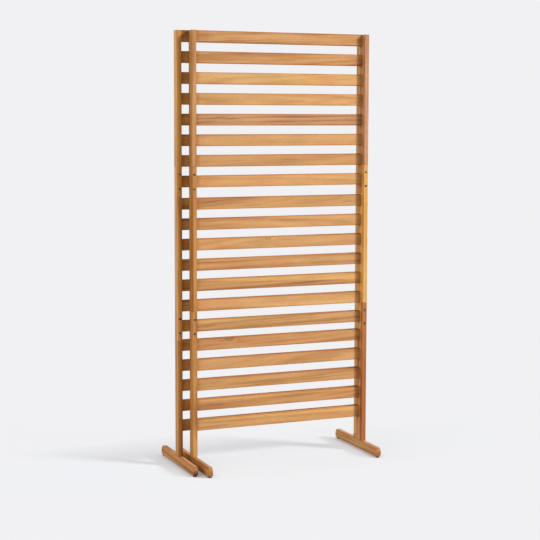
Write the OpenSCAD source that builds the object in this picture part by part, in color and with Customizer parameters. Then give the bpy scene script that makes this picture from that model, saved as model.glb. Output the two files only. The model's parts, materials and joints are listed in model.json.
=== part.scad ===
// Extending slatted screen: a front frame that stands on two feet, and a back frame
// that slides out behind it on a third foot. X runs along the screen, -Y is the front,
// the floor is z = 0 and the origin is the middle of the closed screen's footprint.

/* [Screen] */
// Height of the post tops above the floor
screen_h = 1800; // [1500:10:2200]
// Width of the front frame over its posts
front_w = 800; // [500:10:1200]
// How far the back frame stands out on the left when it is closed
side_step = 50; // [40:1:120]
// Gap between the two frames
frame_gap = 2; // [1.5:0.5:6]

/* [Posts] */
// Width of a post, seen from the front
post_w = 20; // [18:1:30]
// Depth of a post
post_d = 38; // [32:1:60]
// Length of the half-lap joint between two post sections
lap_len = 124; // [90:2:140]
// Distance between the two bolts of a lap joint
bolt_spacing = 59; // [54:1:70]

/* [Slats] */
// Height of a slat
slat_h = 48; // [36:1:50]
// Thickness of a slat
slat_t = 12; // [8:0.5:14]
// Distance from a slat's face to the side of its frame that faces the other frame
slat_inset = 3; // [2:0.5:8]
// Height of the lowest slat's bottom edge above the floor
lowest_edge = 149; // [120:1:220]
// Extra drop between the rows on either side of the upper post joint
upper_step = 7; // [0:0.5:10]
// Extra drop between the rows on either side of the lower post joint
lower_step = -3.5; // [-6:0.5:6]
// Length of a tenon
tenon_len = 8; // [5:0.5:12]
// Thickness of a tenon
tenon_t = 6; // [4:0.5:7]
// Height of the shoulder above and below a tenon
tenon_shoulder = 6; // [4:0.5:8]

/* [Feet] */
// Length of a foot
foot_len = 410; // [300:10:600]
// Height of the wood of a foot
foot_h = 38; // [30:1:50]
// Length cut off the upper corner of a foot's end
top_cut_len = 11; // [4:1:20]
// Height cut off the upper corner of a foot's end
top_cut_h = 15; // [4:1:18]
// Length cut off the lower corner of a foot's end
low_cut_len = 6; // [2:1:10]
// Height cut off the lower corner of a foot's end
low_cut_h = 9; // [2:1:12]
// Diameter of a glide
glide_d = 16; // [12:1:18]
// Thickness of a glide under the wood
glide_h = 5; // [3:0.5:8]
// Distance from the end of a foot to the middle of its glide
glide_in = 15; // [14:1:40]

/* [Rest block] */
// Height of the block that the closed back frame stands on
rest_h = 18; // [14:1:30]
// Thickness of the lips that stop the back frame
rest_lip = 4; // [3:0.5:6]
// Height of the lips above the block
rest_lip_h = 16; // [8:1:24]
// Thickness of the pad under the back frame's right post
pad_h = 2; // [1.5:0.5:5]

/* [Slide guides] */
// Length of a guide along the slat
guide_w = 12; // [10:1:16]
// Thickness of the wall behind the slat
guide_wall = 4; // [3:0.5:6]
// Height of the arms above and below the slat
guide_arm = 12; // [10:0.5:15]
// Clearance round the sliding slat
guide_gap = 0.5; // [0.3:0.1:0.8]

/* [Bolts and screws] */
// Diameter of a joint bolt
bolt_d = 6; // [5:0.5:8]
// Diameter of a bolt head and of its sleeve nut
head_d = 10; // [9:0.5:13]
// Height of a bolt head
head_h = 4; // [3:0.5:5]
// Size of the hex socket of a bolt or a foot screw across its corners
socket_d = 4.6; // [3:0.2:6]
// Diameter of a foot screw
foot_screw_d = 5; // [4:0.5:6]
// Length of a foot screw below its head
foot_screw_len = 70; // [60:5:90]
// Diameter of a small screw
small_screw_d = 4; // [3:0.5:4.5]

/* [Hidden] */
$fn = 48;
rows_top = 8;
rows_middle = 7;
rows_bottom = 5;
rows = rows_top + rows_middle + rows_bottom;
guide_rows = [3, 11, 18];
rest_gap = 0.3;
side_gap = 0.5;
fit_gap = 0.1;
seat_gap = 0.2;
lap_gap = 0.2;
screw_margin = 2;
head_sink = 0.5;
socket_deep = 2.5;
bolt_end_in = 1;
stem_d = 5;
stem_len = 9;
foot_screw_spacing = 18;
foot_screw_head_d = 9;
foot_screw_head_h = 3;
foot_screw_sink = 2;
small_head_d = 7;
small_head_h = 2.5;
small_socket_d = 2.9;
screw_socket_deep = 1.7;
guide_bite = 15;
rest_screw_len = 32;
eps = 1;

WOOD = ["#c98d55", "#b87647", "#d49d62", "#c1834f", "#a96a3e", "#d2a067", "#bd7c48"];
NYLON = "#1d1c1b";
STEEL = "#8d8a84";

foot_top = glide_h + foot_h;
rest_top = foot_top + rest_h;
back_right_bottom = rest_top + rest_gap + pad_h;
back_span = 2 * post_d + frame_gap;

front_left_x = 0;
front_right_x = front_w - post_w;
back_left_x = -side_step;
back_right_x = front_right_x;

front_foot_y = post_d / 2;
back_foot_y = back_span - post_d / 2;

row_pitch = (screen_h - lowest_edge - slat_h - upper_step - lower_step) / (rows - 1);
function row_top(i) = screen_h - (i - 1) * row_pitch - (i > rows_top ? upper_step : 0)
    - (i > rows_top + rows_middle ? lower_step : 0);
upper_lap_mid = row_top(rows_top) - slat_h / 2;
lower_lap_mid = row_top(rows_top + rows_middle) - slat_h / 2;
lap_mids = [upper_lap_mid, lower_lap_mid];

slat_y = post_d - slat_inset - slat_t;
tenon_y = slat_y + (slat_t - tenon_t) / 2;
other_slat_y = post_d + frame_gap + slat_inset;
guide_depth = other_slat_y - post_d + slat_t + guide_gap + guide_wall;

rest_right = front_w + side_gap + rest_lip;
rest_back = back_span + side_gap + rest_lip;
rest_lip_in = 6;
rest_screw_low = rest_top - head_sink - small_head_h - rest_screw_len;
rest_screw_mid = (post_d + back_span) / 2;
rest_screw_reach = post_d / 2 - small_head_d / 2 - screw_margin;
foot_screw_seat = glide_h + foot_screw_sink + foot_screw_head_h;
foot_screw_top = foot_screw_seat + foot_screw_len;
guide_screw_reach = slat_h / 2 + guide_gap + guide_arm / 2;
mid_x = (back_left_x + rest_right) / 2;
mid_y = (front_foot_y + back_foot_y) / 2;

function two(i) = str(i < 10 ? "0" : "", i);
FRAMES = ["front", "back"];
SIDES = ["left", "right"];
SECTIONS = ["top", "middle", "bottom"];

function post_x(f, s) = f == "front" ? (s == "left" ? front_left_x : front_right_x)
    : (s == "left" ? back_left_x : back_right_x);
function post_bottom(f, s) = f == "back" && s == "right" ? back_right_bottom : foot_top;
function wood(i) = WOOD[i % len(WOOD)];
function rest_screw_y(side) = rest_screw_mid + side * rest_screw_reach;
function guide_screw_z(i, side) = row_top(i) - slat_h / 2 + side * guide_screw_reach;

// Puts a frame's own space into the screen's. In that space y = 0 is the frame's outer
// side and y = post_d faces the other frame, because the back frame is turned round.
module frame_space(f) {
    translate([-mid_x, -mid_y, 0])
        if (f == "front") children();
        else translate([0, back_span, 0]) mirror([0, 1, 0]) children();
}

module rod_y(d, y0, y1, x, z, sides = $fn) {
    translate([x, y0, z]) rotate([-90, 0, 0]) cylinder(d = d, h = y1 - y0, $fn = sides);
}

module rod_z(d, z0, z1, x, y) {
    translate([x, y, z0]) cylinder(d = d, h = z1 - z0);
}

// The sockets that all the slats of a frame leave in one of its posts
module mortises(s) {
    for (i = [1 : rows])
        translate([s == "left" ? post_w - tenon_len - fit_gap : -eps, tenon_y - fit_gap,
                row_top(i) - slat_h + tenon_shoulder - fit_gap])
            cube([tenon_len + fit_gap + eps, tenon_t + 2 * fit_gap,
                slat_h - 2 * tenon_shoulder + 2 * fit_gap]);
}

// The bolt holes of the two lap joints, with a sunk seat at each end
module lap_holes() {
    seat = head_sink + head_h;
    for (m = lap_mids) for (side = [-1, 1]) {
        z = m + side * bolt_spacing / 2;
        rod_y(bolt_d + 2 * fit_gap, -eps, post_d + eps, post_w / 2, z);
        rod_y(head_d + 2 * seat_gap, -eps, seat, post_w / 2, z);
        rod_y(head_d + 2 * seat_gap, post_d - seat, post_d + eps, post_w / 2, z);
    }
}

// The pilot holes that the two foot screws leave in the end of a post
module foot_pilots() {
    for (side = [-1, 1])
        rod_z(foot_screw_d + fit_gap, foot_top - eps, foot_screw_top + 2 * fit_gap,
            post_w / 2, post_d / 2 + side * foot_screw_spacing / 2);
}

// One of a post's three sections, in its frame's space with the post's left face at x = 0.
// In a lap joint the upper section keeps its inner half and the lower one its outer half.
module section_shape(k, low) {
    upper = [upper_lap_mid - lap_len / 2, upper_lap_mid + lap_len / 2];
    lower = [lower_lap_mid - lap_len / 2, lower_lap_mid + lap_len / 2];
    low_lap = k == "top" ? upper : lower;
    high_lap = k == "middle" ? upper : lower;
    z0 = k == "bottom" ? low : low_lap[0] + lap_gap;
    z1 = k == "top" ? screen_h : high_lap[1] - lap_gap;
    difference() {
        translate([0, 0, z0]) cube([post_w, post_d, z1 - z0]);
        if (k != "bottom")
            translate([-eps, -eps, low_lap[0]]) cube([post_w + 2 * eps, post_d / 2 + eps, lap_len]);
        if (k != "top")
            translate([-eps, post_d / 2, high_lap[0]]) cube([post_w + 2 * eps, post_d / 2 + eps, lap_len]);
    }
}

module post_section(f, s, k) {
    low = post_bottom(f, s);
    frame_space(f) translate([post_x(f, s), 0, 0]) difference() {
        section_shape(k, low);
        mortises(s);
        lap_holes();
        if (k == "bottom") {
            if (low == foot_top) foot_pilots();
            else rod_z(stem_d + fit_gap, low - eps, low + stem_len, post_w / 2, post_d / 2);
        }
        if (f == "front" && s == "left")
            for (i = guide_rows) for (side = [-1, 1])
                rod_y(small_screw_d + fit_gap, post_d - guide_bite - fit_gap, post_d + eps,
                    post_w - guide_w / 2, guide_screw_z(i, side));
    }
}

module slat(f, i) {
    x0 = post_x(f, "left") + post_w;
    x1 = post_x(f, "right");
    frame_space(f) translate([0, 0, row_top(i) - slat_h]) {
        translate([x0, slat_y, 0]) cube([x1 - x0, slat_t, slat_h]);
        translate([x0 - tenon_len, tenon_y, tenon_shoulder])
            cube([x1 - x0 + 2 * tenon_len, tenon_t, slat_h - 2 * tenon_shoulder]);
    }
}

// A foot, seen along X, with its cut corners and its screw and glide holes
module foot(x, y, post_y, block = false) {
    half = foot_len / 2;
    outline = [
        [-half, low_cut_h], [-half + low_cut_len, 0], [half - low_cut_len, 0], [half, low_cut_h],
        [half, foot_h - top_cut_h], [half - top_cut_len, foot_h], [-half + top_cut_len, foot_h],
        [-half, foot_h - top_cut_h]
    ];
    frame_space("front") difference() {
        translate([x, y, glide_h]) rotate([90, 0, 90]) linear_extrude(post_w) polygon(outline);
        for (side = [-1, 1]) {
            post_screw_y = post_y + side * foot_screw_spacing / 2;
            rod_z(foot_screw_d + 2 * fit_gap, 0, foot_top + eps, x + post_w / 2, post_screw_y);
            rod_z(foot_screw_head_d + 2 * seat_gap, 0, foot_screw_seat, x + post_w / 2, post_screw_y);
            rod_z(stem_d + fit_gap, 0, glide_h + stem_len, x + post_w / 2, y + side * (half - glide_in));
        }
        if (block) for (side = [-1, 1])
            rod_z(small_screw_d + fit_gap, rest_screw_low - fit_gap, foot_top + eps,
                x + post_w / 2, rest_screw_y(side));
    }
}

// The block behind the front frame's right post, with a lip to the right and one behind
module rest_block() {
    color(wood(3)) frame_space("front") difference() {
        union() {
            translate([front_right_x, post_d, foot_top])
                cube([rest_right - front_right_x, rest_back - post_d, rest_h]);
            translate([rest_right - rest_lip, post_d + frame_gap, foot_top])
                cube([rest_lip, rest_back - post_d - frame_gap, rest_h + rest_lip_h]);
            translate([front_right_x + rest_lip_in, rest_back - rest_lip, foot_top])
                cube([rest_right - front_right_x - rest_lip_in, rest_lip, rest_h + rest_lip_h]);
        }
        for (side = [-1, 1]) {
            rod_z(small_screw_d + fit_gap, foot_top - eps, rest_top, front_right_x + post_w / 2,
                rest_screw_y(side));
            rod_z(small_head_d + 2 * seat_gap, rest_top - head_sink - small_head_h, rest_top + eps,
                front_right_x + post_w / 2, rest_screw_y(side));
        }
    }
}

// A glide of height h whose underside is at height z
module glide(x, y, h, z = 0) {
    rod_z(glide_d, z, z + h, x, y);
    rod_z(stem_d, z, z + h + stem_len - fit_gap, x, y);
}

module foot_glides(x, y) {
    for (side = [-1, 1]) glide(x + post_w / 2, y + side * (foot_len / 2 - glide_in), glide_h);
}

// A closed loop behind the front frame's left post that the back frame's slat i runs through
module slide_guide(i) {
    low = row_top(i) - slat_h - guide_gap - guide_arm;
    translate([post_w - guide_w, post_d, 0]) difference() {
        translate([0, 0, low])
            cube([guide_w, guide_depth, slat_h + 2 * (guide_gap + guide_arm)]);
        translate([-eps, other_slat_y - post_d - guide_gap, low + guide_arm])
            cube([guide_w + 2 * eps, slat_t + 2 * guide_gap, slat_h + 2 * guide_gap]);
        for (side = [-1, 1]) {
            rod_y(small_screw_d + 2 * fit_gap, -eps, guide_depth + eps, guide_w / 2, guide_screw_z(i, side));
            rod_y(small_head_d + 2 * seat_gap, guide_depth - head_sink - small_head_h, guide_depth + eps,
                guide_w / 2, guide_screw_z(i, side));
        }
    }
}

module front_nylon_parts() {
    color(NYLON) frame_space("front") {
        foot_glides(front_left_x, front_foot_y);
        foot_glides(front_right_x, back_foot_y);
        for (i = guide_rows) slide_guide(i);
    }
}

module back_nylon_parts() {
    color(NYLON) frame_space("front") {
        foot_glides(back_left_x, back_foot_y);
        glide(back_right_x + post_w / 2, back_foot_y, pad_h, rest_top + rest_gap);
    }
}

// A lap joint's bolt, headed on the frame's outer side, and the sleeve nut on its inner side
module lap_bolt(x, z) {
    seat = head_sink + head_h;
    difference() {
        union() {
            rod_y(head_d, head_sink, seat, x, z);
            rod_y(bolt_d, seat, post_d - head_sink - bolt_end_in, x, z);
        }
        rod_y(socket_d, -eps, head_sink + socket_deep, x, z, 6);
    }
    difference() {
        rod_y(head_d, post_d - seat, post_d - head_sink, x, z);
        rod_y(bolt_d + fit_gap, post_d - seat - eps, post_d, x, z);
    }
}

module lap_bolts(f) {
    for (s = SIDES) for (m = lap_mids) for (side = [-1, 1])
        lap_bolt(post_x(f, s) + post_w / 2, m + side * bolt_spacing / 2);
}

// A screw that runs up from z = 0, the outer side of its head, which has a hex socket
module screw(len, shank, head, head_len, socket) {
    difference() {
        union() {
            cylinder(d = head, h = head_len);
            cylinder(d = shank, h = len);
        }
        translate([0, 0, -eps]) cylinder(d = socket, h = eps + screw_socket_deep, $fn = 6);
    }
}

module small_screw(len) {
    screw(len, small_screw_d, small_head_d, small_head_h, small_socket_d);
}

module foot_screws(x, post_y) {
    low = glide_h + foot_screw_sink;
    for (side = [-1, 1])
        translate([x + post_w / 2, post_y + side * foot_screw_spacing / 2, low])
            screw(foot_screw_top - low, foot_screw_d, foot_screw_head_d, foot_screw_head_h, socket_d);
}

module front_bolts_and_screws() {
    color(STEEL) frame_space("front") {
        lap_bolts("front");
        foot_screws(front_left_x, front_foot_y);
        foot_screws(front_right_x, front_foot_y);
        head_y = post_d + guide_depth - head_sink;
        for (i = guide_rows) for (side = [-1, 1])
            translate([post_w - guide_w / 2, head_y, guide_screw_z(i, side)]) rotate([90, 0, 0])
                small_screw(head_y - post_d + guide_bite);
        head_z = rest_top - head_sink;
        for (side = [-1, 1])
            translate([front_right_x + post_w / 2, rest_screw_y(side), head_z]) rotate([180, 0, 0])
                small_screw(head_z - rest_screw_low);
    }
}

module back_bolts_and_screws() {
    color(STEEL) frame_space("back") lap_bolts("back");
    color(STEEL) frame_space("front") foot_screws(back_left_x, back_foot_y);
}

module front_left_foot() { color(wood(1)) foot(front_left_x, front_foot_y, front_foot_y); }
module front_right_foot() { color(wood(0)) foot(front_right_x, back_foot_y, front_foot_y, true); }
module back_left_foot() { color(wood(4)) foot(back_left_x, back_foot_y, back_foot_y); }

for (f = FRAMES) for (s = SIDES) for (k = [0 : 2])
    color(wood(2 * k + (s == "left" ? 2 : 1))) post_section(f, s, SECTIONS[k]);
for (f = FRAMES) for (i = [1 : rows])
    color(wood(3 * i + (f == "front" ? 0 : 4))) slat(f, i);
front_left_foot();
front_right_foot();
back_left_foot();
rest_block();
front_nylon_parts();
back_nylon_parts();
front_bolts_and_screws();
back_bolts_and_screws();
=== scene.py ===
import json
import math
import random

import bmesh
import bpy
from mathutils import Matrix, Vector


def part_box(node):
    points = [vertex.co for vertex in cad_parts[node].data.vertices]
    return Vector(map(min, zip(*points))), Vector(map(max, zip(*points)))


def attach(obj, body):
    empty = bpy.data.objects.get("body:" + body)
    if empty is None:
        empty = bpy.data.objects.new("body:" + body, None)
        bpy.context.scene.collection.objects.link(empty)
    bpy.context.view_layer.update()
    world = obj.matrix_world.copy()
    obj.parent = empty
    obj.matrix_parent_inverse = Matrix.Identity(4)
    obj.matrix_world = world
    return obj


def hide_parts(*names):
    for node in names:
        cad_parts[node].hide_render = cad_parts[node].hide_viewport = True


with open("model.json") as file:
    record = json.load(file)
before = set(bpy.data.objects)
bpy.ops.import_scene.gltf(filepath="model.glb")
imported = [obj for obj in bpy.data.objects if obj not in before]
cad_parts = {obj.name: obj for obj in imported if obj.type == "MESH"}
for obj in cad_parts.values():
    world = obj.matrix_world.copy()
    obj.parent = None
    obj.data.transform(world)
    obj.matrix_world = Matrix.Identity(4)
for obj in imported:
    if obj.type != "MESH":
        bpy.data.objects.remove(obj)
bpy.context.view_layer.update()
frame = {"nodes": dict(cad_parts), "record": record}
record = frame["record"]
bodyOf = {node: body for body, nodes in record["behaviour"]["bodies"].items() for node in nodes}
print("frame loaded,", len(frame["nodes"]), "nodes")

mm = 0.001

# The camera stands in front of the screen and to its left, and its lens is shifted a little down

cameraLook = {
    "place": (-2.2666, -5.3292, 1.4530),  # metres
    "turn": 22.878,  # degrees to the right
    "tip": 5.5805,  # degrees down
    "roll": -0.1314,  # degrees
    "lens": 91.924,  # mm
    "lowered": 0.035,  # part of the picture's width
}


def makeCamera(look):
    lens = bpy.data.cameras.new("camera")
    lens.lens = look["lens"]
    lens.shift_y = -look["lowered"]
    camera = bpy.data.objects.new("camera", lens)
    camera.location = look["place"]
    camera.rotation_euler = (
        math.radians(90 - look["tip"]),
        math.radians(look["roll"]),
        math.radians(-look["turn"]),
    )
    bpy.context.collection.objects.link(camera)
    bpy.context.scene.camera = camera


makeCamera(cameraLook)
print("camera placed")

# Helpers for colours and shader nodes


def shown(red, green, blue):  # a colour as a screen shows it, made linear
    def linear(value):
        value /= 255
        return value / 12.92 if value <= 0.04045 else ((value + 0.055) / 1.055) ** 2.4

    return (linear(red), linear(green), linear(blue), 1.0)


def emptyTree(owner):  # the cleared node tree of a material or of the world
    owner.use_nodes = True
    owner.node_tree.nodes.clear()
    return owner.node_tree


def addNode(tree, kind, inputs=None, **settings):  # an input is a value, or another node's output
    node = tree.nodes.new("ShaderNode" + kind)
    for name, value in settings.items():
        setattr(node, name, value)
    for name, value in (inputs or {}).items():
        if isinstance(value, bpy.types.NodeSocket):
            tree.links.new(value, node.inputs[name])
        else:
            node.inputs[name].default_value = value
    return node


def mathNode(tree, operation, *inputs):
    return addNode(tree, "Math", dict(enumerate(inputs)), operation=operation).outputs[0]


def vectorMath(tree, operation, *inputs):
    node = addNode(tree, "VectorMath", dict(enumerate(inputs)), operation=operation)
    return node.outputs["Value" if operation in ("LENGTH", "DOT_PRODUCT") else "Vector"]


def remap(tree, value, old, new, smooth=False):
    inputs = {"Value": value}
    inputs.update({"From Min": old[0], "From Max": old[1], "To Min": new[0], "To Max": new[1]})
    kind = "SMOOTHSTEP" if smooth else "LINEAR"
    return addNode(tree, "MapRange", inputs, interpolation_type=kind).outputs["Result"]


def mixColours(tree, share, first, second, blend="MULTIPLY"):
    inputs = {0: share, 6: first, 7: second}  # the Mix node's sockets for colours
    return addNode(tree, "Mix", inputs, data_type="RGBA", blend_type=blend).outputs[2]


def grey(tree, value):
    return addNode(tree, "CombineColor", {0: value, 1: value, 2: value}).outputs[0]


def rampColour(tree, value, stops):  # each stop is a place from 0 to 1 and a colour
    ramp = addNode(tree, "ValToRGB", {"Fac": value})
    elements = ramp.color_ramp.elements
    first, *between, last = stops
    for element, (place, colour) in zip(elements, (first, last)):
        element.position, element.color = place, colour
    for place, colour in between:
        elements.new(place).color = colour
    return ramp.outputs["Color"]


def finishSurface(tree, colour, roughness, height, relief, shader):
    strength, depth = relief
    bump = addNode(tree, "Bump", {"Strength": strength, "Distance": depth * mm, "Height": height})
    inputs = {"Base Color": colour, "Roughness": roughness, "Normal": bump.outputs[0], **shader}
    surface = addNode(tree, "BsdfPrincipled", inputs)
    addNode(tree, "OutputMaterial", {"Surface": surface.outputs[0]})


# The room: a pale floor that fades into a pale backdrop, light from three sides, and a lamp

roomLook = {
    "paper": shown(241, 241, 243),  # what the camera sees round the screen
    "left": 2.2,  # strength of the light from straight left
    "behind": 1.2,  # from straight behind the screen
    "above": 0.2,
}
floorLook = {
    "seen": (0.865, 0.9, 0.94, 1.0),  # the lit floor, which shows the shadow
    "bounce": (0.6, 0.6, 0.6, 1.0),  # what the screen gets back from it
    "size": 60.0,  # metres
    "oval": (1.0, 3.7, 1.0),  # its lit oval is this much narrower from front to back
    "ovalShift": (0.19, -0.39, 0.0),  # and is then moved left and back
    "reach": (0.02, 1.65),  # metres from the oval's middle, over which it fades into paper
    "paper": (0.33, 0.985),  # part of the paper colour there
    "lastReach": (3, 9),  # metres from the middle, over which the rest fades
    "contact": 0.05,  # metres round what touches the floor, where the shadow deepens
    "open": (0.45, 0.95),  # how open the floor is where it is deepest, and where that ends
    "openPaper": (0.2, 1),  # part of the paper colour that is left there
    "contactSamples": 8,
}
lampLook = {
    "round": 50.0,  # degrees from straight ahead to the right
    "high": 25.5,  # degrees above the floor
    "size": 13.0,  # degrees across, which softens the shadows
    "strength": 3.3,
}
sides = {"left": (-1, 0, 0), "behind": (0, 1, 0), "above": (0, 0, 1)}


def seenRay(tree):  # 1 where the camera looks, straight or by reflection or through glass
    path = addNode(tree, "LightPath").outputs
    seen = mathNode(tree, "MAXIMUM", path["Is Camera Ray"], path["Is Glossy Ray"])
    return mathNode(tree, "MAXIMUM", seen, path["Is Transmission Ray"])


def makeRoom(look):
    world = bpy.data.worlds.new("room")
    bpy.context.scene.world = world
    tree = emptyTree(world)
    direction = addNode(tree, "TexCoord").outputs["Generated"]
    total = 0.0
    for side, axis in sides.items():
        towards = mathNode(tree, "MAXIMUM", vectorMath(tree, "DOT_PRODUCT", direction, axis), 0.0)
        squared = mathNode(tree, "MULTIPLY", towards, towards)
        total = mathNode(tree, "MULTIPLY_ADD", squared, look[side], total)
    light = addNode(tree, "Background", {"Color": (1, 1, 1, 1), "Strength": total}).outputs[0]
    paper = addNode(tree, "Background", {"Color": look["paper"], "Strength": 1.0}).outputs[0]
    mix = addNode(tree, "MixShader", {0: seenRay(tree), 1: light, 2: paper})
    addNode(tree, "OutputWorld", {"Surface": mix.outputs[0]})


def floorMaterial(look):
    material = bpy.data.materials.new("floorPaper")
    tree = emptyTree(material)
    place = addNode(tree, "TexCoord").outputs["Object"]
    oval = vectorMath(tree, "MULTIPLY_ADD", place, look["oval"], look["ovalShift"])
    away = vectorMath(tree, "LENGTH", oval)
    fade = remap(tree, away, look["reach"], look["paper"])
    rest = remap(tree, away, look["lastReach"], (0, 1 - look["paper"][1]))
    fade = mathNode(tree, "ADD", fade, rest)
    samples = look["contactSamples"]
    clear = addNode(tree, "AmbientOcclusion", {"Distance": look["contact"]}, samples=samples)
    contact = remap(tree, clear.outputs["AO"], look["open"], look["openPaper"], smooth=True)
    fade = mathNode(tree, "MULTIPLY", fade, contact)
    lit = addNode(tree, "BsdfDiffuse", {"Color": look["seen"]}).outputs[0]
    plain = addNode(tree, "Emission", {"Color": roomLook["paper"], "Strength": 1.0}).outputs[0]
    seen = addNode(tree, "MixShader", {0: fade, 1: lit, 2: plain}).outputs[0]
    bounce = addNode(tree, "BsdfDiffuse", {"Color": look["bounce"]}).outputs[0]
    mix = addNode(tree, "MixShader", {0: seenRay(tree), 1: bounce, 2: seen})
    addNode(tree, "OutputMaterial", {"Surface": mix.outputs[0]})
    return material


def makeFloor(look):
    work = bmesh.new()
    bmesh.ops.create_grid(work, x_segments=1, y_segments=1, size=look["size"] / 2)
    mesh = bpy.data.meshes.new("floor")
    work.to_mesh(mesh)
    work.free()
    mesh.materials.append(floorMaterial(look))
    floor = bpy.data.objects.new("floor", mesh)
    bpy.context.collection.objects.link(floor)


def makeLamp(look):
    lamp = bpy.data.lights.new("softLamp", "SUN")
    lamp.energy = look["strength"]
    lamp.angle = math.radians(look["size"])
    holder = bpy.data.objects.new("softLamp", lamp)
    holder.rotation_euler = (math.radians(90 - look["high"]), 0, math.radians(look["round"]))
    bpy.context.collection.objects.link(holder)


bpy.context.scene.view_settings.view_transform = "Standard"
makeRoom(roomLook)
makeFloor(floorLook)
makeLamp(lampLook)
print("room and lamp made")

# Oiled hardwood. Each board is cut from a log of its own, and the growth rings run through it.
# The tone gives a board its three colours, from light to dark.

tones = {
    "pale": ((233, 181, 122), (224, 171, 111), (206, 150, 92)),
    "honey": ((221, 168, 114), (212, 158, 104), (190, 134, 84)),
    "tan": ((214, 160, 108), (205, 150, 98), (178, 122, 76)),
    "russet": ((209, 153, 100), (198, 142, 91), (166, 108, 68)),
    "dun": ((207, 154, 108), (193, 140, 98), (152, 102, 70)),
    "brown": ((186, 134, 88), (172, 120, 78), (136, 88, 56)),
    "rose": ((222, 170, 132), (211, 156, 118), (186, 126, 90)),
    "amber": ((207, 152, 90), (194, 136, 74), (164, 106, 54)),
    "gold": ((224, 168, 88), (216, 159, 80), (196, 134, 64)),
    "umber": ((188, 122, 70), (168, 102, 54), (132, 74, 38)),
}
logLook = {  # how a board may lie in its log
    "away": (45, 130),  # mm from the log's heart to the board's middle
    "turn": (0, 360),  # degrees round the heart
    "tilt": (0.6, 2.2),  # degrees between the board and the heart
    "along": (0, 9),  # metres up the log
}
ringLook = {  # mm between the rings, and how strong they are
    "broad": (17.0, 2.0),
    "line": (5.5, 0.7),
    "hair": (1.6, 0.35),
    "detail": 2,
    "roughness": 0.55,
}
noiseLook = {  # mm between spots across the grain, as a part of those along it, detail, roughness
    "wander": (85, 0.16, 2, 0.5),
    "cloud": (24.0, 0.07, 3, 0.5),
    "patch": (75, 0.3, 2, 0.5),
    "fibre": (0.9, 0.03, 3, 0.6),
    "pore": (0.7, 0.06, 1, 0.5),
    "ragged": (6, 1, 2, 0.5),
}
patchLook = {  # from which to which value of the noise, the share of the tint there, and the tint
    "redder": ((0.45, 0.68), (0, 0.8), (0.92, 0.8, 0.78, 1)),
    "duller": ((0.32, 0.52), (0.55, 0), (0.8, 0.81, 0.76, 1)),
}
knotLook = {
    "bend": 9.0,  # mm that the rings are pushed aside in its middle
    "reach": (0, 3.5),  # from its middle to where they run straight again, its own rim being 1
    "ragged": (0.45, 1.15),  # where the dark rim may run
    "rimWidth": 0.4,
    "rimShare": 0.8,
    "rim": (0.46, 0.34, 0.26, 1),
}
grainLook = {
    "stops": (0.08, 0.5, 0.9),  # where the dark, middle and light colours lie
    "cloud": 1.3,  # how strong the long soft clouds are
    "warp": 12.0,  # mm that the rings wander
    "wave": 14.0,  # mm that streaks and sapwood wave to and fro
    "fibreFrom": (0.25, 0.75),  # from which to which value of the noise the fibres turn pale
    "fibre": (0.87, 1.12),  # how dark and how pale the fibres are
    "poreStart": (0.62, 0.72),  # from which to which value of the noise a pore opens
    "poreShare": 0.4,
    "pore": (0.5, 0.36, 0.28, 1),
    "edge": 6.0,  # mm from an edge over which painted shade darkens the rounded edges
    "edgeShadeColour": (0.84, 0.61, 0.33, 1.0),
    "end": 28.0,  # mm from a shoulder over which painted shade darkens the board, next to the post it meets
    "shoulderShadeColour": (0.72, 0.64, 0.42, 1.0),
    "streak": (0.52, 0.47, 0.46, 1.0),
    "streakSpread": (0.1, 1),  # where a streak is whole and where it ends, 1 being its own rim
    "sapwood": shown(236, 182, 114),
    "sapwoodEdge": (-1.5, 2.5),  # mm over which it starts
    "sapwoodShare": 0.7,
    "sideFaces": (0.5, 0.9),  # how far a face looks that way where its painted light and shade tint starts, and is whole
    "endFaces": (0.45, 0.95),  # the same for the end grain
    "endShare": 0.8,
    "endGrain": (0.66, 0.54, 0.46, 1),
    "roughFrom": (0.2, 1.2),  # fibres and pores together, where the wood is smoothest and roughest
    "rough": (0.62, 0.78),
    "relief": (0.12, 0.3),  # strength, and depth in mm
    "shader": {"Specular IOR Level": 0.2},
}
noiseSpread = (0.3, 0.7)  # where most of a noise's values lie
spotDepth = 10  # a spot is this many times as deep as it is long, so it runs through the board
quarter = math.radians(90)
grains = {  # the turn that lays the grain along Z, and where the axes across the grain then lie
    "x": {"axis": (1, 0, 0), "turn": (0, quarter, 0), "across": {1: "Y", 2: "X"}},
    "y": {"axis": (0, 1, 0), "turn": (-quarter, 0, 0), "across": {0: "X", 2: "Y"}},
    "z": {"axis": (0, 0, 1), "turn": (0, 0, 0), "across": {0: "X", 1: "Y"}},
}
lightAndShadeFaces = ((0, 1, 0), (1, 0, 0), (0, 0, 1))  # faces that get painted light and shade: front and back, the two sides, top and bottom


def noise(tree, place, name):
    step, along, detail, roughness = noiseLook[name]
    inputs = {"Vector": vectorMath(tree, "MULTIPLY", place, (1, 1, along))}
    inputs.update({"Scale": 1 / (step * mm), "Detail": detail, "Roughness": roughness})
    return addNode(tree, "TexNoise", inputs).outputs


def ringPattern(tree, radius, name):
    inputs = {"W": radius, "Scale": 1 / (ringLook[name][0] * mm)}
    inputs.update({"Detail": ringLook["detail"], "Roughness": ringLook["roughness"]})
    return addNode(tree, "TexNoise", inputs, noise_dimensions="1D").outputs["Fac"]


def reachFrom(tree, place, along, up, length, width, slope=0.0):
    # 0 in the middle of a long spot, and 1 at its rim
    inputs = {
        "Vector": place,
        "Location": (-up * mm, 0, along * mm),
        "Rotation": (0, math.radians(-slope), 0),
        "Scale": (width / 2 * mm, spotDepth * length * mm, length / 2 * mm),
    }
    spot = addNode(tree, "Mapping", inputs, vector_type="TEXTURE").outputs[0]
    return vectorMath(tree, "LENGTH", spot)


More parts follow.
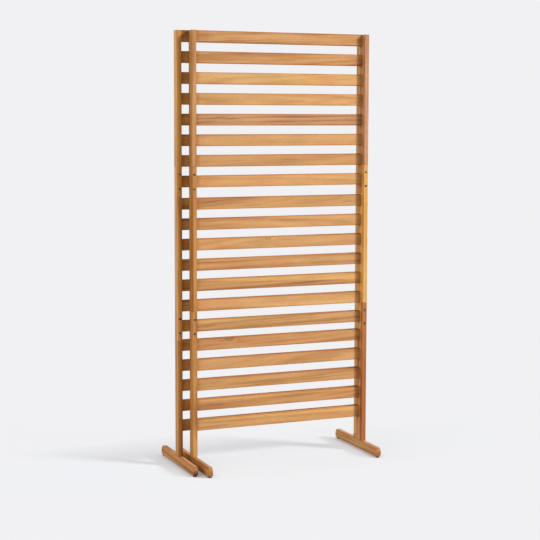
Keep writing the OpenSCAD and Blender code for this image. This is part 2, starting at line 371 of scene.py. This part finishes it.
def placeInLog(tree, centred, draw):
    away = draw.uniform(*logLook["away"]) * mm
    turn = math.radians(draw.uniform(*logLook["turn"]))
    tilt = draw.uniform(*logLook["tilt"])
    along = draw.uniform(*logLook["along"])
    inputs = {
        "Vector": centred,
        "Location": (away * math.cos(turn), away * math.sin(turn), along),
        "Rotation": (math.radians(tilt * draw.choice((-1, 1))), math.radians(tilt / 2), 0),
    }
    return addNode(tree, "Mapping", inputs).outputs[0]


def ringRadius(tree, inLog, wander):  # how far from the log's wandering heart
    warp = grainLook["warp"] * mm
    warped = vectorMath(tree, "MULTIPLY_ADD", wander, (warp, warp, 0), inLog)
    return vectorMath(tree, "LENGTH", vectorMath(tree, "MULTIPLY", warped, (1, 1, 0)))


def ringColour(tree, inLog, radius, tone, contrast):
    patterns = [
        (ringPattern(tree, radius, name), ringLook[name][1]) for name in ("broad", "line", "hair")
    ]
    patterns.append((noise(tree, inLog, "cloud")["Fac"], grainLook["cloud"]))
    value = 0.5
    for pattern, strength in patterns:
        swing = strength * contrast / 2
        value = mathNode(tree, "ADD", remap(tree, pattern, (0, 1), (-swing, swing)), value)
    light, middle, dark = (shown(*colour) for colour in tones[tone])
    return rampColour(tree, value, zip(grainLook["stops"], (dark, middle, light)))


def waved(tree, centred, wander):
    wave = grainLook["wave"] * mm
    moved = vectorMath(tree, "MULTIPLY_ADD", wander, (wave, 0, 0), centred)
    return vectorMath(tree, "SUBTRACT", moved, (wave / 2, 0, 0))


def addSapwood(tree, colour, curved, halfLength, leftUp, rightUp, most=grainLook["sapwoodShare"]):
    parts = addNode(tree, "SeparateXYZ", {0: curved}).outputs
    start = remap(tree, parts["Z"], (-halfLength, halfLength), (leftUp, rightUp))
    up = mathNode(tree, "MULTIPLY", parts["X"], -1 / mm)
    above = mathNode(tree, "SUBTRACT", up, start)
    share = remap(tree, above, grainLook["sapwoodEdge"], (0, most), smooth=True)
    return mixColours(tree, share, colour, grainLook["sapwood"], blend="MIX")


def addPatches(tree, colour, inLog, patchy):
    patches = noise(tree, inLog, "patch")["Fac"]
    for spread, shares, tint in patchLook.values():
        shares = [share * patchy for share in shares]
        colour = mixColours(tree, remap(tree, patches, spread, shares, smooth=True), colour, tint)
    return colour


def addStreak(tree, colour, curved, along, up, length, width, slope, dark):
    reach = reachFrom(tree, curved, along, up, length, width, slope)
    share = remap(tree, reach, grainLook["streakSpread"], (dark, 0), smooth=True)
    return mixColours(tree, share, colour, grainLook["streak"])


def addKnotRim(tree, colour, centred, reach):
    ragged = noise(tree, centred, "ragged")["Fac"]
    ragged = remap(tree, ragged, noiseSpread, knotLook["ragged"])
    away = mathNode(tree, "ABSOLUTE", mathNode(tree, "SUBTRACT", reach, ragged))
    share = remap(tree, away, (0, knotLook["rimWidth"]), (knotLook["rimShare"], 0))
    return mixColours(tree, share, colour, knotLook["rim"])


def nearRim(tree, part, half, width):  # 1 at the board's surface and 0 that many mm inside it
    fromMiddle = mathNode(tree, "ABSOLUTE", part)
    return remap(tree, fromMiddle, (half - width * mm, half), (0, 1), smooth=True)


def facing(tree, normal, axis, spread, most=1):  # most on faces that look along the axis
    turned = mathNode(tree, "ABSOLUTE", vectorMath(tree, "DOT_PRODUCT", normal, axis))
    return remap(tree, turned, spread, (0, most))


def woodMaterial(node, look):
    low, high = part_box(node)
    grain = grains[look["grain"]]
    along = grain["axis"].index(1)
    halfLength = (high[along] - low[along]) / 2
    material = bpy.data.materials.new("wood_" + node)
    tree = emptyTree(material)
    place = addNode(tree, "TexCoord").outputs
    inputs = {"Vector": place["Object"], "Location": (low + high) / 2, "Rotation": grain["turn"]}
    centred = addNode(tree, "Mapping", inputs, vector_type="TEXTURE").outputs[0]
    parts = addNode(tree, "SeparateXYZ", {0: centred}).outputs
    inLog = placeInLog(tree, centred, random.Random(look["seed"]))
    wander = noise(tree, inLog, "wander")["Color"]
    radius = ringRadius(tree, inLog, wander)
    knot = None
    if "knot" in look:
        knot = reachFrom(tree, centred, *look["knot"])
        bend = remap(tree, knot, knotLook["reach"], (knotLook["bend"] * mm, 0), smooth=True)
        radius = mathNode(tree, "ADD", radius, bend)

    # the figure of the wood
    colour = ringColour(tree, inLog, radius, look["tone"], look.get("contrast", 1.0))
    curved = waved(tree, centred, wander)
    if "sapwood" in look:
        colour = addSapwood(tree, colour, curved, halfLength, *look["sapwood"])
    colour = addPatches(tree, colour, inLog, look.get("patchy", 1.0))
    for streak in look.get("streaks", ()):
        colour = addStreak(tree, colour, curved, *streak)
    fibres = noise(tree, inLog, "fibre")["Fac"]
    shade = grey(tree, remap(tree, fibres, grainLook["fibreFrom"], grainLook["fibre"]))
    colour = mixColours(tree, 1.0, colour, shade)
    pores = noise(tree, inLog, "pore")["Fac"]
    pores = remap(tree, pores, grainLook["poreStart"], (0, 1), smooth=True)
    share = mathNode(tree, "MULTIPLY", pores, grainLook["poreShare"])
    colour = mixColours(tree, share, colour, grainLook["pore"])
    if knot:
        colour = addKnotRim(tree, colour, centred, knot)

    # painted shade along the rounded edges, the drift of a slat from end to end, which is partly
    # painted light, painted shade at the shoulders, painted light and shade tints of its faces,
    # and the darker end grain
    edgeShaded = look.get("edgeShade", 1.0)
    for axis, name in grain["across"].items():
        edge = nearRim(tree, parts[name], (high[axis] - low[axis]) / 2, grainLook["edge"])
        edgeShaded = mathNode(tree, "MULTIPLY", edge, edgeShaded)
    colour = mixColours(tree, edgeShaded, colour, grainLook["edgeShadeColour"])
    if "lightAndToneDrift" in look:
        lightAndToneDrift = remap(tree, parts["Z"], (-halfLength, halfLength), look["lightAndToneDrift"])
        colour = mixColours(tree, 1.0, colour, grey(tree, lightAndToneDrift))
    # painted shade near the shoulders, where the board meets a post
    if "tenon" in look:
        end = nearRim(tree, parts["Z"], halfLength - look["tenon"] * mm, grainLook["end"])
        colour = mixColours(tree, end, colour, grainLook["shoulderShadeColour"])
    for axis, tint in zip(lightAndShadeFaces, look.get("lightAndShadeTints", ())):
        share = facing(tree, place["Normal"], axis, grainLook["sideFaces"])
        colour = mixColours(tree, share, colour, (*tint, 1))
    spread, most = grainLook["endFaces"], grainLook["endShare"]
    share = facing(tree, place["Normal"], grain["axis"], spread, most)
    colour = mixColours(tree, share, colour, grainLook["endGrain"])

    roughness = mathNode(tree, "ADD", fibres, pores)
    roughness = remap(tree, roughness, grainLook["roughFrom"], grainLook["rough"])
    height = mathNode(tree, "SUBTRACT", fibres, pores)
    finishSurface(tree, colour, roughness, height, grainLook["relief"], grainLook["shader"])
    return material


# Each piece is a merged copy of its node with the edges rounded that its kind calls for

edgeLook = {  # mm that the edges are rounded, and in how many steps
    "post": (1.4, 4),
    "slat": (1.8, 4),
    "foot": (2.2, 4),
    "block": (1.2, 3),
    "nylon": (0.6, 2),
    "steel": (1.5, 4),
}
edgeShare = {  # the part of that rounding that an edge gets
    "joint": 0.8,  # at a post's joint lines
    "socket": 0.15,  # at a bolt head's hex socket
}
meshLook = {
    "doubles": 0.01,  # mm between two points that are one
    "flat": 1.0,  # degrees between two faces that are one
    "rounded": 20.0,  # degrees above which an edge is rounded
    "crease": 46.0,  # degrees above which an edge stays a sharp line
    "near": 0.05,  # mm between two places that are the same
    "blockEdge": 3.0,  # mm, the shortest edge of the block that is rounded
    "rimEdge": 1.4,  # mm, the longest edge of a round rim
}
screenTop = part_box("front_left_post_top")[1].z


def mergedCopy(node):
    work = bmesh.new()
    work.from_mesh(frame["nodes"][node].data)
    flat = math.radians(meshLook["flat"])
    bmesh.ops.remove_doubles(work, verts=work.verts, dist=meshLook["doubles"] * mm)
    bmesh.ops.dissolve_limit(work, angle_limit=flat, verts=work.verts, edges=work.edges)
    return work


def near(value, *others):
    return any(abs(value - other) < meshLook["near"] * mm for other in others)


def sharp(edge):
    if len(edge.link_faces) != 2 or not edge.is_convex:
        return False
    return edge.calc_face_angle() > math.radians(meshLook["rounded"])


def postWeight(edge, low, high):
    middle = (low.y + high.y) / 2
    ends = [vert.co for vert in edge.verts]
    if not all(near(end.x, low.x, high.x) and near(end.y, low.y, middle, high.y) for end in ends):
        return 0
    upright = near(ends[0].x, ends[1].x) and near(ends[0].y, ends[1].y)
    if upright:
        return edgeShare["joint"] if near(ends[0].y, middle) else 1
    return 1 if near(ends[0].z, screenTop) else edgeShare["joint"]


def slatWeight(edge, low, high):
    return 1 if edge.calc_length() > (high.x - low.x) / 2 else 0


def footWeight(edge, low, high):
    return 1 if all(near(vert.co.x, low.x, high.x) for vert in edge.verts) else 0


def blockWeight(edge, low, high):
    return 1 if edge.calc_length() > meshLook["blockEdge"] * mm else 0


def nylonWeight(edge, low, high):
    return 1


def steelWeight(edge, low, high):  # round rims are made of short edges, sockets of long ones
    return 1 if edge.calc_length() < meshLook["rimEdge"] * mm else edgeShare["socket"]


weightOf = {
    "post": postWeight, "slat": slatWeight, "foot": footWeight,
    "block": blockWeight, "nylon": nylonWeight, "steel": steelWeight,
}


def easedMesh(piece, radius, segments):  # the piece's mesh with its weighted edges rounded
    bevel = piece.modifiers.new("eased", "BEVEL")
    bevel.width = radius * mm
    bevel.segments = segments
    bevel.limit_method = "WEIGHT"
    bevel.use_clamp_overlap = False
    graph = bpy.context.evaluated_depsgraph_get()
    mesh = bpy.data.meshes.new_from_object(piece.evaluated_get(graph))
    piece.modifiers.remove(bevel)
    crease = math.radians(meshLook["crease"])
    work = bmesh.new()
    work.from_mesh(mesh)
    for edge in work.edges:
        edge.smooth = edge.is_manifold and edge.calc_face_angle() < crease
    for face in work.faces:
        face.smooth = True
    work.to_mesh(mesh)
    work.free()
    return mesh


def finishPiece(node, suffix, material, kind):
    work = mergedCopy(node)
    low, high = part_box(node)
    weights = work.edges.layers.float.new("bevel_weight_edge")
    for edge in work.edges:
        edge[weights] = weightOf[kind](edge, low, high) if sharp(edge) else 0
    mesh = bpy.data.meshes.new(node + suffix)
    work.to_mesh(mesh)
    work.free()
    mesh.materials.append(material)
    piece = bpy.data.objects.new(node + suffix, mesh)
    bpy.context.collection.objects.link(piece)
    piece.data = easedMesh(piece, *edgeLook[kind])
    bpy.data.meshes.remove(mesh)
    piece.data.name = piece.name
    shading = piece.modifiers.new("flatFaces", "WEIGHTED_NORMAL")
    shading.keep_sharp = True
    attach(piece, bodyOf[node])
    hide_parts(node)


# Boards. What each slat of the front frame may have, from the top down:
# contrast  how strong the figure is
# lightAndToneDrift  how pale the left and the right end are beside the middle, partly painted
# light and partly the slat's own tone
# patchy    how strong the redder and duller patches are
# streaks   mm along and up from the board's middle, length, width, slope in degrees, how dark
# knot      mm along and up, length and width
# sapwood   mm up from the middle where it starts, at the left and right end, and how pale it is

plainSlat = {"grain": "x", "tenon": 8}  # the tenon's length in mm
# By default the front slats grow paler to the right, towards the lamp, as painted light, and their
# front and back faces are tinted paler than the rest, also painted light
plainFrontSlat = {"lightAndToneDrift": (0.95, 1.05), "lightAndShadeTints": ((1.04, 1.08, 1.05), (1, 1, 1))}
frontSlatLooks = [
    {
        "tone": "tan",
        "streaks": [
            (-335, 0, 130, 40, 0, 0.35), (-236, -15, 90, 6, 3, 0.5), (-110, 13, 140, 6, 0, 0.45),
        ],
    },
    {
        "tone": "russet", "contrast": 0.75, "lightAndToneDrift": (1.0, 1.12),
        "streaks": [
            (-262, -11, 450, 16, 1, 0.4), (130, 6, 260, 14, 0, 0.35), (340, 8, 120, 20, 0, 0.35),
        ],
    },
    {
        "tone": "pale", "contrast": 0.7, "lightAndToneDrift": (0.88, 1.04),
        "streaks": [(290, 1, 150, 6, 2, 0.45)],
    },
    {
        "tone": "honey", "contrast": 0.8, "lightAndToneDrift": (1.0, 1.17),
        "streaks": [(70, 11, 230, 12, 0, 0.3), (291, -21, 60, 5, 0, 0.6)],
    },
    {
        "tone": "dun", "contrast": 0.9, "lightAndToneDrift": (0.96, 1.1),
        "streaks": [
            (-330, -8, 140, 12, 5, 0.55), (-262, 12, 160, 8, 6, 0.6), (-215, 4, 110, 14, 3, 0.4),
            (90, 9, 220, 9, 2, 0.5), (250, 0, 260, 8, 4, 0.35),
        ],
    },
    {
        "tone": "honey", "contrast": 0.5,
        "streaks": [(-120, 8, 160, 4, 0, 0.25), (-60, -4, 150, 4, 0, 0.25)],
    },
    {
        "tone": "tan", "contrast": 0.35,
        "streaks": [(-200, 0, 140, 5, 1, 0.45), (44, 2, 170, 7, 0, 0.5)],
    },
    {"tone": "honey", "contrast": 0.6, "lightAndToneDrift": (1.0, 1.15), "streaks": [(60, 4, 180, 8, 0, 0.2)]},
    {
        "tone": "tan", "contrast": 0.8, "lightAndToneDrift": (1.03, 0.97), "patchy": 0.4,
        "streaks": [
            (-310, 7, 220, 9, 6.5, 0.75), (-125, -11, 170, 9, 1, 0.55), (330, -5, 150, 20, 0, 0.3),
        ],
    },
    {
        "tone": "tan", "contrast": 0.9, "lightAndToneDrift": (0.93, 1.12),
        "streaks": [
            (-305, 14, 170, 9, 0, 0.55), (-164, 16, 90, 5, 0, 0.4), (-280, -5, 200, 24, 2, 0.3),
            (60, 10, 260, 8, 1, 0.3),
        ],
    },
    {
        "tone": "honey", "contrast": 0.7, "lightAndToneDrift": (0.98, 1.0), "knot": (-57, 16.5, 30, 10),
        "streaks": [(40, 10, 130, 6, 4, 0.45), (-190, -22, 90, 5, 0, 0.4)],
    },
    {
        "tone": "tan", "contrast": 0.9, "lightAndToneDrift": (0.97, 0.98),
        "streaks": [
            (-336, 12, 120, 8, 0, 0.4), (162, 9, 130, 7, 5, 0.35), (160, -5, 260, 20, 0, 0.2),
        ],
    },
    {
        "tone": "russet", "contrast": 0.85, "lightAndToneDrift": (0.93, 1.02), "sapwood": (20, -8, 0.6),
        "streaks": [(200, -6, 260, 9, 0, 0.35)],
    },
    {"tone": "honey", "contrast": 0.8},
    {
        "tone": "tan", "lightAndToneDrift": (0.88, 1.05), "sapwood": (6, 38),
        "streaks": [(-330, -3, 190, 16, 3, 0.45)],
    },
    {
        "tone": "russet", "knot": (-228, 17, 44, 12),
        "streaks": [
            (-330, -3, 140, 6, 0, 0.4), (-226, 16, 46, 9, 0, 0.55), (-262, 12, 90, 5, -4, 0.3),
        ],
    },
    {
        "tone": "tan", "contrast": 0.6, "patchy": 0.4,
        "streaks": [(-100, 18, 130, 8, 0, 0.35), (260, -5, 200, 8, 4, 0.3)],
    },
    {
        "tone": "tan", "contrast": 0.7, "lightAndToneDrift": (1.0, 0.98),
        "streaks": [
            (-8, -8, 110, 12, 0, 0.35), (150, -12, 240, 10, 2, 0.3), (230, 6, 200, 7, 4, 0.25),
        ],
    },
    {
        "tone": "russet", "contrast": 0.6, "lightAndToneDrift": (1.0, 1.0), "patchy": 0.5,
        "sapwood": (13, 12, 0.35), "streaks": [(-310, -4, 200, 26, 0, 0.4)],
    },
    {
        "tone": "honey", "contrast": 0.9, "lightAndToneDrift": (0.9, 1.12), "sapwood": (13, 4, 0.5),
        "streaks": [
            (-290, -10, 270, 15, 1, 0.7), (-160, -16, 200, 8, 0, 0.4), (60, 2, 150, 6, 0, 0.25),
        ],
    },
]

# The back frame's slats have the contrast of the front ones, and these tones by turns, darker and
# warmer than the front's, partly as painted shade for the shaded gaps between the posts
backSlatTones = ["russet", "amber", "amber", "russet", "amber", "amber", "amber"]
backSlatFiguresAndShadow = {
    # The first back slat's two dark streaks at its left end are painted shadow, where the front
    # left post shades it
    1: {"streaks": [(-376, 6, 90, 70, 0, 1.0), (-376, 22, 90, 30, 0, 1.0)]},
    3: {"streaks": [(160, 8, 190, 8, 3, 0.5)]},
    7: {"knot": (140, -6, 36, 13)},
    12: {"sapwood": (16, 4)},
    17: {"knot": (-210, 8, 30, 11), "streaks": [(-60, 2, 160, 7, 3, 0.4)]},
}

# The tone, then the tints of the faces that look forwards and back, to the sides, and up and down:
# painted light and shade, darker where a face lies in shade and paler where it is lit
postLooks = {
    "front_left_post_top": ("tan", (0.93, 0.93, 0.92), (0.81, 0.74, 0.48)),
    "front_left_post_middle": ("amber", (1, 1, 1), (1, 1.04, 0.84)),
    "front_left_post_bottom": ("amber", (1.02, 1.08, 1.25), (1.08, 1.1, 0.95)),
    "front_right_post_top": ("rose", (0.94, 0.93, 0.93), (0.76, 0.74, 0.52)),
    "front_right_post_middle": ("gold", (1.14, 1.24, 1.5), (1.04, 1.08, 1.1)),
    "front_right_post_bottom": ("umber", (1.05, 1.06, 1.0), (1.33, 1.45, 1.5)),
    "back_left_post_top": ("tan", (0.93, 0.81, 0.4), (1, 1.08, 1.02)),
    "back_left_post_middle": ("tan", (1.0, 0.86, 0.37), (0.97, 1.2, 1.5)),
    "back_left_post_bottom": ("tan", (0.77, 0.62, 0.33), (0.88, 0.95, 0.88)),
    "back_right_post_top": ("tan", (1, 1, 1), (1, 1, 0.78)),
    "back_right_post_middle": ("honey", (1, 1, 1), (0.96, 0.97, 0.78)),
    "back_right_post_bottom": ("tan", (1, 1, 1), (1, 1, 0.8)),
}
# A broad darker zone on the lower part of the front left post's bottom section
postDarkZones = {"front_left_post_bottom": [(-137, 0, 230, 60, 0, 0.45)]}
plainPost = {"grain": "z", "edgeShade": 0.45, "patchy": 0.35}  # less painted edge shade and fewer patches than a slat
# The feet's tints are painted light and shade in the same way, the last one making their tops
# paler
footLooks = {
    "front_left_foot": ("russet", (1, 1, 1), (0.98, 1.06, 0.66), (1.1, 1.14, 1.14)),
    "front_right_foot": ("tan", (1, 1, 1), (0.87, 0.92, 0.8), (1.15, 1.22, 1.3)),
    "back_left_foot": ("brown", (1, 1, 1), (1.2, 1.2, 0.9), (1.35, 1.45, 1.5)),
}
# A board's seed is its number in its group, counted on from these
seedsAfter = {"front slats": 10, "back slats": 110, "posts": 40, "feet": 60, "block": 70}


def makeBoard(node, kind, look):
    finishPiece(node, "_board", woodMaterial(node, look), kind)


for number, figure in enumerate(frontSlatLooks, 1):
    look = plainSlat | plainFrontSlat | {"seed": seedsAfter["front slats"] + number} | figure
    makeBoard(f"front_slat_{number:02d}", "slat", look)
    look = plainSlat | {"seed": seedsAfter["back slats"] + number}
    look["contrast"] = figure.get("contrast", 1.0)
    look["tone"] = backSlatTones[number % len(backSlatTones)]
    makeBoard(f"back_slat_{number:02d}", "slat", look | backSlatFiguresAndShadow.get(number, {}))
for number, (node, (tone, *lightAndShadeTints)) in enumerate(postLooks.items(), 1):
    look = plainPost | {"tone": tone, "seed": seedsAfter["posts"] + number, "lightAndShadeTints": lightAndShadeTints}
    look["streaks"] = postDarkZones.get(node, ())
    makeBoard(node, "post", look)
for number, (node, (tone, *lightAndShadeTints)) in enumerate(footLooks.items(), 1):
    seed = seedsAfter["feet"] + number
    makeBoard(node, "foot", {"grain": "y", "tone": tone, "seed": seed, "lightAndShadeTints": lightAndShadeTints})
makeBoard("rest_block", "block", {"grain": "y", "tone": "tan", "seed": seedsAfter["block"] + 1})
print("boards finished")

# Black nylon glides and guides, and the steel bolts, nuts and screws

nylonLook = {
    "fine": (1400.0, 2.0),  # spots to the metre and detail of the moulded skin
    "coarse": (90.0, 3.0),  # of the worn patches
    "shades": ((0.3, shown(26, 25, 24)), (0.75, shown(46, 44, 42))),
    "relief": (0.15, 0.1),  # strength, and depth in mm
    "roughBy": "coarse",
    "rough": (0.48, 0.62),
    "shader": {"Specular IOR Level": 0.4},
}
steelLook = {
    "fine": (900.0, 4.0),  # of the brushed skin
    "coarse": (220.0, 2.0),  # of the dull patches
    "shades": ((0.35, shown(98, 82, 64)), (0.7, shown(132, 115, 94))),
    "relief": (0.12, 0.05),
    "roughBy": "fine",
    "rough": (0.28, 0.46),
    "shader": {"Metallic": 1.0},
}


def smallPartMaterial(name, look):
    material = bpy.data.materials.new(name)
    tree = emptyTree(material)
    place = addNode(tree, "TexCoord").outputs["Object"]
    pattern = {}
    for size in ("fine", "coarse"):
        scale, detail = look[size]
        inputs = {"Vector": place, "Scale": scale, "Detail": detail}
        pattern[size] = addNode(tree, "TexNoise", inputs).outputs["Fac"]
    colour = rampColour(tree, pattern["coarse"], look["shades"])
    roughness = remap(tree, pattern[look["roughBy"]], noiseSpread, look["rough"])
    finishSurface(tree, colour, roughness, pattern["fine"], look["relief"], look["shader"])
    return material


nylon = smallPartMaterial("blackNylon", nylonLook)
steel = smallPartMaterial("fastenerSteel", steelLook)
for side in ("front", "back"):
    finishPiece(side + "_nylon_parts", "_moulded", nylon, "nylon")
    finishPiece(side + "_bolts_and_screws", "_turned", steel, "steel")
print("nylon and steel finished")
